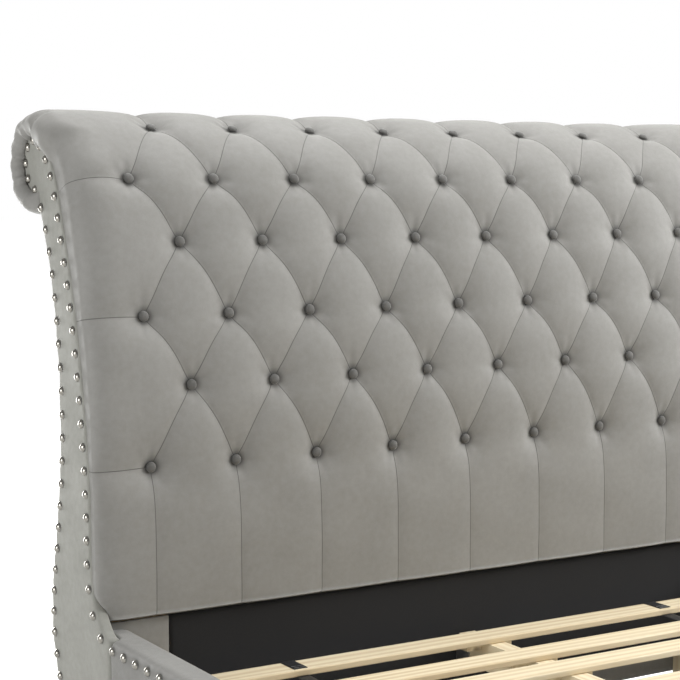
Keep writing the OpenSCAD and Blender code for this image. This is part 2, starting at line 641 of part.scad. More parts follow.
head_pad();
head_roll_core();
head_front_board();
head_side_frame_l();
head_side_frame_r();
head_top_bar();
head_mid_bar();
head_edge_bar();
head_base_bar();
head_posts();
head_back_cover();
head_leg_wrap_l();
head_leg_wrap_r();
head_dust_cloth();
head_facing_l();
head_facing_r();
head_roll_end_l();
head_roll_end_r();
head_buttons();
head_nails();
foot_roll_pad();
foot_outer_pad();
foot_roll_core();
foot_side_frame_l();
foot_side_frame_r();
foot_top_bar();
foot_base_bar();
foot_posts();
foot_facing_l();
foot_facing_r();
foot_roll_end_l();
foot_roll_end_r();
foot_buttons();
foot_nails();
rail_core_l();
rail_core_r();
rail_pad_l();
rail_pad_r();
rail_cleat_l();
rail_cleat_r();
rail_nails();
cleat_screws();
corner_brackets();
corner_bolts();
turned_feet();
slats();
slat_blocks();
strap_l();
strap_r();
strap_staples();
centre_beam();
beam_brackets();
support_leg_1();
support_leg_2();
support_leg_3();
leg_tee_nuts();
leg_glide_1();
leg_glide_2();
leg_glide_3();
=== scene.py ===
import math

import bmesh
import bpy
import numpy as np
from mathutils import Matrix, Vector


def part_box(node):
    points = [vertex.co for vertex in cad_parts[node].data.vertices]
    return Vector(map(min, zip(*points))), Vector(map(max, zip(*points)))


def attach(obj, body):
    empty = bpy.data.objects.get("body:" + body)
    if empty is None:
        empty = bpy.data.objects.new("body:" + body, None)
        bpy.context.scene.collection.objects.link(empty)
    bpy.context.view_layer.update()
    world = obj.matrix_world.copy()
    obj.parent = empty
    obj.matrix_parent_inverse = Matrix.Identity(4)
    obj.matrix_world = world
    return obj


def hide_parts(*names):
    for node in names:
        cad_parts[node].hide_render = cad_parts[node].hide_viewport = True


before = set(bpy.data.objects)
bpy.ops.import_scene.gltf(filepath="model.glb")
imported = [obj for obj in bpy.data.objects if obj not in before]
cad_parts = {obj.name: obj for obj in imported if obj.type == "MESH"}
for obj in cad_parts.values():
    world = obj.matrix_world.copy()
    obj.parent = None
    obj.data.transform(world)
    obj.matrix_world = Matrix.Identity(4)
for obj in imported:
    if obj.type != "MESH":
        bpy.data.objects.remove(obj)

scene = bpy.context.scene
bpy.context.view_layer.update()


# ---- Studio ----
# A seamless pale floor in an even white surround. Soft lights stand high on the right, overhead,
# behind, low at the foot and on the left. The camera stands left of the foot end, almost level.

def area_light(name, place, aim, size, power):
    lamp = bpy.data.lights.new(name, "AREA")
    lamp.shape = "RECTANGLE"
    lamp.size, lamp.size_y = size
    lamp.energy = power
    holder = bpy.data.objects.new(name, lamp)
    holder.location = place
    holder.rotation_euler = (Vector(aim) - Vector(place)).to_track_quat("-Z", "Y").to_euler()
    scene.collection.objects.link(holder)


area_light("key_right", (4.4, -0.9, 2.6), (0, 0.7, 0.9), (1.5, 1.5), 200)
area_light("top_soft", (0.4, 1.0, 4.2), (0, 0.9, 0.6), (3.0, 2.0), 120)
area_light("rim_back", (-1.0, 3.8, 0.8), (-0.8, 1.2, 1.2), (1.4, 1.4), 60)
area_light("front_low", (0.6, -3.4, 1.1), (0, -1.3, 0.3), (1.5, 1.0), 20)
area_light("fill_left", (-4.5, 0.3, 1.6), (0, 0.9, 0.8), (2.4, 2.4), 80)


def add_node(tree, kind, **values):
    """A new node with its settings and, where a name is a socket's, that socket's value."""
    made = tree.nodes.new(kind)
    for name, value in values.items():
        socket = name.replace("_", " ")
        if hasattr(made, name) and not name[0].isupper():
            setattr(made, name, value)
        else:
            made.inputs[socket].default_value = value
    return made


def join(tree, source, output, target, socket):
    """Links two nodes by the names or numbers of their sockets."""
    tree.links.new(source.outputs[output], target.inputs[socket])


WHITE = (1, 1, 1, 1)
surround = bpy.data.worlds.new("white_surround")
scene.world = surround
surround.use_nodes = True
sky = surround.node_tree
sky.nodes.clear()
seen = add_node(sky, "ShaderNodeBackground", Color=WHITE, Strength=1.0)
lighting = add_node(sky, "ShaderNodeBackground", Color=WHITE, Strength=0.34)
ray = add_node(sky, "ShaderNodeLightPath")
choose = add_node(sky, "ShaderNodeMixShader")
world_out = add_node(sky, "ShaderNodeOutputWorld")
join(sky, ray, "Is Camera Ray", choose, "Fac")
join(sky, lighting, "Background", choose, 1)
join(sky, seen, "Background", choose, 2)
join(sky, choose, "Shader", world_out, "Surface")
scene.view_settings.view_transform = "Standard"

camera = bpy.data.objects.new("camera", bpy.data.cameras.new("camera"))
camera.data.lens = 90.85
camera.data.sensor_width = 36
camera.location = (-2.1086, -2.0042, 1.2399)
camera.rotation_euler = (math.radians(84.915), 0, math.radians(-31.146))
scene.collection.objects.link(camera)
scene.camera = camera

floor_shape = bmesh.new()
bmesh.ops.create_grid(floor_shape, x_segments=2, y_segments=2, size=60)
bmesh.ops.translate(floor_shape, verts=floor_shape.verts, vec=(0, 0, -0.0005))
floor_mesh = bpy.data.meshes.new("floor")
floor_shape.to_mesh(floor_mesh)
floor_shape.free()
studio_floor = bpy.data.objects.new("floor", floor_mesh)
scene.collection.objects.link(studio_floor)
floor_paint = bpy.data.materials.new("pale_floor")
floor_paint.use_nodes = True
floor_nodes = floor_paint.node_tree
floor_base = floor_nodes.nodes["Principled BSDF"]
floor_base.inputs["Base Color"].default_value = (0.8, 0.8, 0.79, 1)
floor_base.inputs["Roughness"].default_value = 0.8
# A glow that only the camera sees lifts the floor to the surround's white
floor_glow = add_node(floor_nodes, "ShaderNodeEmission", Strength=0.74)
floor_ray = add_node(floor_nodes, "ShaderNodeLightPath")
floor_sum = add_node(floor_nodes, "ShaderNodeAddShader")
floor_mix = add_node(floor_nodes, "ShaderNodeMixShader")
join(floor_nodes, floor_base, "BSDF", floor_sum, 0)
join(floor_nodes, floor_glow, "Emission", floor_sum, 1)
join(floor_nodes, floor_ray, "Is Camera Ray", floor_mix, "Fac")
join(floor_nodes, floor_base, "BSDF", floor_mix, 1)
join(floor_nodes, floor_sum, "Shader", floor_mix, 2)
join(floor_nodes, floor_mix, "Shader", floor_nodes.nodes["Material Output"], "Surface")
floor_mesh.materials.append(floor_paint)


# ---- Timber ----
# Cross bars, posts, cleats, beam, legs, blocks and slats are bare planed pine with knots. The side
# frames, cores and front board are bare plywood. The turned feet are stained dark and lacquered.

def new_group(name, inputs, outputs):
    """An empty shader group with its sockets, and its two end nodes."""
    group = bpy.data.node_groups.new(name, "ShaderNodeTree")
    for label, kind in inputs:
        group.interface.new_socket(name=label, in_out="INPUT", socket_type=kind)
    for label, kind in outputs:
        group.interface.new_socket(name=label, in_out="OUTPUT", socket_type=kind)
    return group, group.nodes.new("NodeGroupInput"), group.nodes.new("NodeGroupOutput")


def new_material(name):
    made = bpy.data.materials.new(name)
    made.use_nodes = True
    return made, made.node_tree, made.node_tree.nodes["Principled BSDF"]


# Sockets of a colour Mix node: its first and second colour, and its result
MIX_A, MIX_B, MIXED = 6, 7, 2


def two_tone(tree, mask, output, dark, light):
    """Mixes two colours by a mask."""
    mix = add_node(tree, "ShaderNodeMix", data_type="RGBA")
    mix.inputs[MIX_A].default_value = (*dark, 1)
    mix.inputs[MIX_B].default_value = (*light, 1)
    join(tree, mask, output, mix, 0)
    return mix


FLOAT, VECTOR = "NodeSocketFloat", "NodeSocketVector"

# Growth lines along X, a few knots and the fine ridges that a planer leaves
grain_group, g_in, g_out = new_group("wood_grain", [("Vector", VECTOR)],
    [("Lines", FLOAT), ("Knots", FLOAT), ("Normal", VECTOR)])
stretch = add_node(grain_group, "ShaderNodeMapping", Scale=(1.2, 14, 14))
warp = add_node(grain_group, "ShaderNodeTexNoise", Scale=1.3, Detail=3)
lines = add_node(grain_group, "ShaderNodeTexWave", bands_direction="Y", Scale=1.1, Distortion=7.0,
    Detail=3, Detail_Scale=0.8)
fibre_map = add_node(grain_group, "ShaderNodeMapping", Scale=(6, 260, 260))
fibre = add_node(grain_group, "ShaderNodeTexNoise", Scale=1.0, Detail=3)
knot_map = add_node(grain_group, "ShaderNodeMapping", Scale=(2.1, 9, 9))
knot = add_node(grain_group, "ShaderNodeTexVoronoi", Scale=1.0)
knot_edge = add_node(grain_group, "ShaderNodeMapRange", From_Min=0.05, From_Max=0.13, To_Min=1, To_Max=0)
blend_lines = add_node(grain_group, "ShaderNodeMath", operation="MULTIPLY")
blend_sum = add_node(grain_group, "ShaderNodeMath", operation="MULTIPLY_ADD")
blend_sum.inputs[1].default_value = 0.35
ridge = add_node(grain_group, "ShaderNodeBump", Strength=0.25, Distance=0.0006)
for target in (stretch, fibre_map, knot_map):
    join(grain_group, g_in, "Vector", target, "Vector")
join(grain_group, stretch, "Vector", warp, "Vector")
join(grain_group, stretch, "Vector", lines, "Vector")
join(grain_group, fibre_map, "Vector", fibre, "Vector")
join(grain_group, knot_map, "Vector", knot, "Vector")
join(grain_group, knot, "Distance", knot_edge, "Value")
join(grain_group, lines, "Fac", blend_lines, 0)
join(grain_group, warp, "Fac", blend_lines, 1)
join(grain_group, fibre, "Fac", blend_sum, 0)
join(grain_group, blend_lines, 0, blend_sum, 2)
join(grain_group, fibre, "Fac", ridge, "Height")
join(grain_group, blend_sum, 0, g_out, "Lines")
join(grain_group, knot_edge, "Result", g_out, "Knots")
join(grain_group, ridge, "Normal", g_out, "Normal")


def wood(name, along, dark, light, knots, rough, coat=0.0):
    """A wood whose grain runs along the axis named by along."""
    made, tree, shader = new_material(name)
    place = add_node(tree, "ShaderNodeTexCoord")
    turn = {"x": (0, 0, 0), "y": (0, 0, math.radians(90)), "z": (0, math.radians(90), 0)}[along]
    lay = add_node(tree, "ShaderNodeMapping", Rotation=turn)
    grain = tree.nodes.new("ShaderNodeGroup")
    grain.node_tree = grain_group
    join(tree, place, "Object", lay, "Vector")
    join(tree, lay, "Vector", grain, "Vector")
    base = two_tone(tree, grain, "Lines", light, dark)
    marked = two_tone(tree, grain, "Knots", light, [c * 0.28 for c in dark])
    join(tree, base, MIXED, marked, MIX_A)
    join(tree, marked if knots else base, MIXED, shader, "Base Color")
    polish = add_node(tree, "ShaderNodeMapRange", To_Min=rough - 0.08, To_Max=rough + 0.1)
    join(tree, grain, "Lines", polish, "Value")
    join(tree, polish, "Result", shader, "Roughness")
    join(tree, grain, "Normal", shader, "Normal")
    shader.inputs["Coat Weight"].default_value = coat
    return made


def dress(material, *nodes):
    """Gives CAD pieces a material."""
    for name in nodes:
        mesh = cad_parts[name].data
        if not mesh.materials:
            mesh.materials.append(material)
        for i in range(len(mesh.materials)):
            mesh.materials[i] = material


PINE_DARK, PINE_LIGHT = (0.60, 0.46, 0.27), (0.83, 0.74, 0.54)
PLY_DARK, PLY_LIGHT = (0.42, 0.27, 0.13), (0.56, 0.41, 0.24)
pine_across = wood("pine_across", "x", PINE_DARK, PINE_LIGHT, True, 0.62)
pine_along = wood("pine_along", "y", PINE_DARK, PINE_LIGHT, True, 0.62)
pine_upright = wood("pine_upright", "z", PINE_DARK, PINE_LIGHT, True, 0.62)
ply_across = wood("plywood_across", "x", PLY_DARK, PLY_LIGHT, False, 0.7)
ply_along = wood("plywood_along", "y", PLY_DARK, PLY_LIGHT, False, 0.7)
ply_upright = wood("plywood_upright", "z", PLY_DARK, PLY_LIGHT, False, 0.7)
stained = wood("stained_foot", "z", (0.012, 0.007, 0.004), (0.035, 0.02, 0.012), False, 0.38, 0.4)
dress(pine_across, "head_top_bar", "head_mid_bar", "head_edge_bar", "head_base_bar", "foot_top_bar",
      "foot_base_bar", "slats")
dress(pine_along, "centre_beam", "rail_cleat_l", "rail_cleat_r", "slat_blocks")
dress(pine_upright, "head_posts", "foot_posts", "support_leg_1", "support_leg_2", "support_leg_3")
dress(ply_across, "head_roll_core", "head_front_board", "foot_roll_core")
dress(ply_along, "rail_core_l", "rail_core_r")
dress(ply_upright, "head_side_frame_l", "head_side_frame_r", "foot_side_frame_l", "foot_side_frame_r")
dress(stained, "turned_feet")


# ---- Tufted headboard padding ----
# Deep foam under one width of velvet, drawn in by rows of covered buttons. The cloth folds into
# straight creases from button to button, runs over the roll in pleats and is tacked underneath.

# Short velvet: broad brushed patches, finer mottling and the pile itself
pile_group, p_in, p_out = new_group("velvet_pile", [("Vector", VECTOR)],
    [("Tone", FLOAT), ("Normal", VECTOR)])
brushed = add_node(pile_group, "ShaderNodeTexNoise", Scale=5.0, Detail=4, Roughness=0.6)
mottle = add_node(pile_group, "ShaderNodeTexNoise", Scale=70.0, Detail=3, Roughness=0.6)
fibres = add_node(pile_group, "ShaderNodeTexNoise", Scale=1300.0, Detail=1)
tone_a = add_node(pile_group, "ShaderNodeMath", operation="MULTIPLY_ADD")
tone_a.inputs[1].default_value = 0.35
tone_b = add_node(pile_group, "ShaderNodeMath", operation="MULTIPLY_ADD")
tone_b.inputs[1].default_value = 0.25
pile_lift = add_node(pile_group, "ShaderNodeBump", Strength=0.22, Distance=0.0005)
for texture in (brushed, mottle, fibres):
    join(pile_group, p_in, "Vector", texture, "Vector")
halve = add_node(pile_group, "ShaderNodeMath", operation="MULTIPLY")
halve.inputs[1].default_value = 0.4
join(pile_group, brushed, "Fac", halve, 0)
join(pile_group, mottle, "Fac", tone_a, 0)
join(pile_group, halve, 0, tone_a, 2)
join(pile_group, fibres, "Fac", tone_b, 0)
join(pile_group, tone_a, 0, tone_b, 2)
join(pile_group, fibres, "Fac", pile_lift, "Height")
join(pile_group, tone_b, 0, p_out, "Tone")
join(pile_group, pile_lift, "Normal", p_out, "Normal")


def velvet(name, dark, light, creased=False, rough=0.62, sheen=0.35):
    """Velvet of two close greys. A creased one has painted shade: a dark line where its crease attribute
    nears zero, and darkening round the buttons' wells.
    """
    made, tree, shader = new_material(name)
    place = add_node(tree, "ShaderNodeTexCoord")
    pile = tree.nodes.new("ShaderNodeGroup")
    pile.node_tree = pile_group
    join(tree, place, "Object", pile, "Vector")
    spread = add_node(tree, "ShaderNodeMapRange", From_Min=0.35, From_Max=0.65)
    join(tree, pile, "Tone", spread, "Value")
    colour = two_tone(tree, spread, "Result", dark, light)
    shine = add_node(tree, "ShaderNodeMapRange", To_Min=rough + 0.06, To_Max=rough - 0.06)
    join(tree, spread, "Result", shine, "Value")
    join(tree, shine, "Result", shader, "Roughness")
    if creased:
        crease = add_node(tree, "ShaderNodeAttribute", attribute_name="crease")
        line = add_node(tree, "ShaderNodeMapRange", From_Min=0.0002, From_Max=0.0012)
        join(tree, crease, "Fac", line, "Value")
        # Painted shade: the colour darkens to a thin line along each crease
        shade_lined = two_tone(tree, line, "Result", [c * 0.45 for c in dark], light)
        join(tree, colour, MIXED, shade_lined, MIX_B)
        # Painted shade darkens the velvet round each button's well
        pit_shade = add_node(tree, "ShaderNodeAttribute", attribute_name="pit_shade")
        shaded = two_tone(tree, pit_shade, "Fac", light, [c * 0.30 for c in dark])
        join(tree, shade_lined, MIXED, shaded, MIX_A)
        join(tree, shaded, MIXED, shader, "Base Color")
        fold = add_node(tree, "ShaderNodeBump", Strength=0.5, Distance=0.0015)
        join(tree, line, "Result", fold, "Height")
        join(tree, pile, "Normal", fold, "Normal")
        join(tree, fold, "Normal", shader, "Normal")
    else:
        join(tree, colour, MIXED, shader, "Base Color")
        join(tree, pile, "Normal", shader, "Normal")
    shader.inputs["Specular IOR Level"].default_value = 0.3
    shader.inputs["Sheen Weight"].default_value = sheen
    shader.inputs["Sheen Roughness"].default_value = 0.4
    shader.inputs["Sheen Tint"].default_value = (0.95, 0.95, 0.92, 1)
    return made


VELVET_DARK, VELVET_LIGHT = (0.236, 0.231, 0.216), (0.288, 0.283, 0.268)
tufted_velvet = velvet("tufted_velvet", VELVET_DARK, VELVET_LIGHT, creased=True)
plain_velvet = velvet("plain_velvet", VELVET_DARK, VELVET_LIGHT)


def solids_of(node):
    """Middle of each separate solid of a CAD node."""
    shape = bmesh.new()
    shape.from_mesh(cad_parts[node].data)
    bmesh.ops.remove_doubles(shape, verts=shape.verts, dist=1e-6)
    waiting = dict.fromkeys(shape.verts)
    middles = []
    while waiting:
        reach = [waiting.popitem()[0]]
        found = []
        while reach:
            vert = reach.pop()
            found.append(vert.co.copy())
            for edge in vert.link_edges:
                other = edge.other_vert(vert)
                if other in waiting:
                    del waiting[other]
                    reach.append(other)
        middles.append(sum(found, Vector()) / len(found))
    shape.free()
    return middles


def end_outline(node):
    """Closed outline, as (y, z) points, of the end of a CAD node that faces right."""
    shape = bmesh.new()
    shape.from_mesh(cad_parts[node].data)
    bmesh.ops.remove_doubles(shape, verts=shape.verts, dist=1e-6)
    far = max(v.co.x for v in shape.verts)
    ends = {f for f in shape.faces if f.normal.x > 0.99 and f.calc_center_median().x > far - 1e-4}
    follow = {}
    for face in ends:
        for loop in face.loops:
            if not any(other in ends for other in loop.edge.link_faces if other is not face):
                follow[loop.vert] = loop.link_loop_next.vert
    chain = [min(follow, key=lambda v: (v.co.z, v.co.y))]
    while follow[chain[-1]] is not chain[0]:
        chain.append(follow[chain[-1]])
    outline = np.array([(v.co.y, v.co.z) for v in chain])
    shape.free()
    return outline


def outer_run(node, side):
    """The outline from its lowest corner on one side of the board up to the next sharp corner."""
    outline = end_outline(node)
    count = len(outline)
    before = np.roll(outline, 1, axis=0) - outline
    after = np.roll(outline, -1, axis=0) - outline
    turn = np.arccos(np.clip(-(before * after).sum(1) / np.linalg.norm(before, axis=1)
                             / np.linalg.norm(after, axis=1), -1, 1))
    low = outline[:, 1] < outline[:, 1].min() + 0.002
    start = max((i for i in range(count) if low[i]), key=lambda i: side * outline[i, 0])
    step = 1 if outline[(start + 1) % count, 1] > outline[start - 1, 1] else -1
    run = [start]
    while True:
        run.append((run[-1] + step) % count)
        if turn[run[-1]] > 0.9:
            return outline[run]


def eased(line, spacing=0.003, reach=0.03):
    """The line with points at an even spacing, and its small corners rounded off."""
    gone = np.concatenate([[0], np.cumsum(np.linalg.norm(np.diff(line, axis=0), axis=1))])
    even = np.linspace(0, gone[-1], int(gone[-1] / spacing) + 1)
    points = np.stack([np.interp(even, gone, line[:, k]) for k in (0, 1)], axis=1)
    width = int(reach / spacing) | 1
    for _ in range(2):
        padded = np.concatenate([2 * points[:1] - points[width // 2:0:-1], points,
                                 2 * points[-1:] - points[-2:-width // 2 - 1:-1]])
        points = np.stack([np.convolve(padded[:, k], np.ones(width) / width, "valid")
                           for k in (0, 1)], axis=1)
    return even, points


class BoardLine:
    """The outer line of a board's padding, measured by the length along it."""

    def __init__(self, node, side):
        self.side = side
        self.s, self.p = eased(outer_run(node, side))
        slope = np.gradient(self.p, self.s, axis=0)
        slope /= np.linalg.norm(slope, axis=1)[:, None]
        self.n = np.stack([slope[:, 1], -slope[:, 0]], axis=1) * side
        self.length = self.s[-1]

    def at(self, s):
        return np.stack([np.interp(s, self.s, self.p[:, k]) for k in (0, 1)], axis=-1)

    def normal(self, s):
        return np.stack([np.interp(s, self.s, self.n[:, k]) for k in (0, 1)], axis=-1)

    def nearest(self, y, z):
        gap = np.hypot(self.p[:, 0] - y, self.p[:, 1] - z)
        return self.s[gap.argmin()], gap.min()


def grid_mesh(name, across, along, place):
    """A sheet of quads: place turns arrays of (x, s) into points, s being a length along the sheet."""
    columns, rows = len(across), len(along)
    shape = bmesh.new()
    bmesh.ops.create_grid(shape, x_segments=columns - 1, y_segments=rows - 1, size=1)
    mesh = bpy.data.meshes.new(name)
    shape.to_mesh(mesh)
    shape.free()
    flat = np.empty(len(mesh.vertices) * 3)
    mesh.vertices.foreach_get("co", flat)
    flat = flat.reshape(-1, 3)
    column = np.rint((flat[:, 0] + 1) / 2 * (columns - 1)).astype(int)
    row = np.rint((flat[:, 1] + 1) / 2 * (rows - 1)).astype(int)
    mesh.vertices.foreach_set("co", place(across[column], along[row]).ravel())
    mesh.update()
    return mesh


def show(name, mesh, material):
    """Puts a mesh in the scene, smooth, as a fixed piece of the bed."""
    mesh.materials.append(material)
    mesh.shade_smooth()
    piece = bpy.data.objects.new(name, mesh)
    scene.collection.objects.link(piece)
    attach(piece, "bed")
    return piece


def crease_lines(buttons, half_width, length):
    """Folds as (x1, s1, x2, s2, depth): between buttons, down and over from the end rows, and
    out to the sides from the outermost buttons."""
    rows = sorted({round(s, 3) for _, s in buttons})
    table = {r: sorted(x for x, s in buttons if abs(s - r) < 0.002) for r in rows}
    pitch = table[rows[0]][1] - table[rows[0]][0]
    widest = max(x for x, _ in buttons)
    folds = []
    for low, high in zip(rows, rows[1:]):
        for x in table[low]:
            for other in table[high]:
                if abs(other - x) < 0.6 * pitch:
                    folds.append((x, low, other, high, 1.0))
    for x in table[rows[0]]:
        folds.append((x, rows[0], x, -0.1, 0.4))
    for x in table[rows[-1]]:
        folds.append((x, rows[-1], x, length + 0.1, 1.0))
    for r in rows:
        if abs(table[r][-1] - widest) < 0.01:
            folds.append((widest, r, half_width + 0.1, r, 0.8))
            folds.append((-widest, r, -half_width - 0.1, r, 0.8))
    return folds, rows, pitch


def distance_to(x, s, fold):
    x1, s1, x2, s2 = fold[:4]
    dx, ds = x2 - x1, s2 - s1
    t = np.clip(((x - x1) * dx + (s - s1) * ds) / (dx * dx + ds * ds), 0, 1)
    return np.hypot(x - x1 - t * dx, s - s1 - t * ds)


def depth_to(line, s, outline):
    """How far behind the padding's outer line a facing's outline lies, at each length s."""
    point, inward = line.at(s), line.normal(s)
    corners = np.roll(outline, -1, axis=0) - outline
    depths = np.zeros(len(s))
    for i, (start, way) in enumerate(zip(point, -inward)):
        gap = outline - start
        cross = way[0] * corners[:, 1] - way[1] * corners[:, 0]
        cross[np.abs(cross) < 1e-12] = 1e-12
        far = (gap[:, 0] * corners[:, 1] - gap[:, 1] * corners[:, 0]) / cross
        share = (gap[:, 0] * way[1] - gap[:, 1] * way[0]) / cross
        hits = far[(share >= 0) & (share <= 1) & (far > -0.05)]
        depths[i] = hits.min() if len(hits) else 0.06
    return depths


def rounded_rim(from_edge, width):
    """Rises from 0 at a width from an edge to nearly 1 at the edge, as a quarter round."""
    over = np.clip(1 - from_edge / width, 0, 1)
    return 1 - np.sqrt(1 - 0.998 * over ** 2)


def eased_step(value):
    """A smooth step from 0 to 1."""
    held = np.clip(value, 0, 1)
    return held * held * (3 - 2 * held)


def smooth_run(values, width):
    """Running mean along an array, its ends held."""
    padded = np.pad(values, width // 2, mode="edge")
    return np.convolve(padded, np.ones(width) / width, "valid")[:len(values)]


def face_one_way(mesh, line, side):
    """Turns the sheet over if its faces look into the board."""
    middle = mesh.polygons[len(mesh.polygons) // 3]
    s, _ = line.nearest(middle.center.y, middle.center.z)
    out = line.normal(np.array([s]))[0]
    if middle.normal.y * out[0] + middle.normal.z * out[1] < 0:
        mesh.flip_normals()


# The facings' inner side, and how far the padding reaches out under them
facing_low, facing_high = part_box("head_facing_r")
INNER_X = facing_low[0]
PAD_HALF = facing_high[0] - 0.0035
OUTERMOST_BUTTON = 0.761
# Depth of the folds, how far from them it is felt, and how far the stuffing pushes them up
FOLD_DEPTH, FOLD_REACH, FOLD_RISE = 0.009, 0.021, 0.009
# How far a button is pulled in, and the depth, reach and inner radius of the funnel round it
BUTTON_SINK, FUNNEL_DEPTH, PIT_REACH, WELL_RADIUS = 0.008, 0.022, 0.034, 0.0135
# A side's columns, and the shares of them where its turn starts and where it ends
SIDE_COLUMNS, TURN_START, TURN_END = 34, 0.2, 0.68
# How far the padding stands out over a scroll, and what is left of that at its inner edge
ROLL_SWELL, ROLL_LIFT, ROLL_INSET = 0.024, 0.0035, 0.001
# How far the last edge is drawn on, over what length, and the length a roll's sides die away in
ROLL_LAP, LAP_REACH, FADE_REACH = 0.014, 0.03, 0.035
TUCK_DEPTH, TUCK_WIDTH = 0.013, 0.012
# Width of a side's turn at the bottom of a board, what it gains higher up, and its width on a roll
SIDE_WIDTH, WIDTH_GAIN, ROLL_WIDTH = 0.050, 0.030, 0.048
# How far up a board that gain starts, and over what height it comes
GAIN_START, GAIN_HEIGHT = 0.60, 0.6
# Length over which a side swells on to the roll, and how much of the roll's end is filled out
ROLL_EASE, ROLL_FILL = 0.07, 0.09
# The padding reaches this far past a facing's outline, and clears it over this much depth
OVERREACH, CLEARING = 0.004, 0.022
# Ripple of the cloth, and of the small puckers round a button
RIPPLE, PUCKER, PUCKER_COUNT, PUCKER_RADIUS = 0.0007, 0.0009, 7, 0.028
# The cloth turns in at its first and last rows, this deep and this far from them
EDGE_DEPTH, EDGE_REACH = 0.010, 0.014
ROW_STEP, LAST_ROW_STEP = 0.008, 0.006
VELVET_THICK = 0.003
# Rolls are given as the lengths where they start and end: past the board's end, or none at all
PAST_END, NO_ROLL = 0.2, (9, 10)


def give_wall(piece, thickness, offset=-1):
    wall = piece.modifiers.new("thickness", "SOLIDIFY")
    wall.thickness = thickness
    wall.offset = offset


def side_section(line, facing_node, roll):
    """How a side turns at each length: width of the turn, widest point, where it ends, how deep
    it has turned by then, how deep it goes in all, and whether it is on the roll (0 to 1)."""
    reach = smooth_run(depth_to(line, line.s, end_outline(facing_node)), 9)
    rolled = eased_step(np.minimum(line.s - roll[0], roll[1] - line.s) / ROLL_EASE)
    if rolled.max() > 0.9:
        # The last rows reach as far in as the rest of the roll, up to the facing's neck
        last = line.s > line.length - ROLL_FILL
        reach = np.where(last, np.maximum(reach, np.median(reach[rolled > 0.9])), reach)
    clear = eased_step((reach - OVERREACH) / CLEARING)
    rise = np.clip((line.at(line.s)[:, 1] - GAIN_START) / GAIN_HEIGHT, 0, 1)
    width = (SIDE_WIDTH + WIDTH_GAIN * rise) * (1 - rolled) + ROLL_WIDTH * rolled
    # The swelling dies away into the facing where the roll ends
    open_end = 1
    if roll[1] > line.length:
        open_end = np.sqrt(np.clip((line.length - line.s) / FADE_REACH, 0, 1))
    flat_edge = (INNER_X - 0.0005 + (PAD_HALF - INNER_X) * clear) * (1 - rolled)
    ending = flat_edge + (PAD_HALF - ROLL_INSET + (ROLL_INSET + ROLL_LIFT) * open_end) * rolled
    widest = flat_edge + (PAD_HALF - ROLL_INSET + (ROLL_INSET + ROLL_SWELL) * open_end) * rolled
    drop = np.clip(reach * 0.60, 0.010, 0.075) * (1 - rolled) + reach * 0.55 * rolled
    deepest = np.maximum(reach + OVERREACH, drop + 0.006)
    return width, widest, ending, drop, deepest, rolled


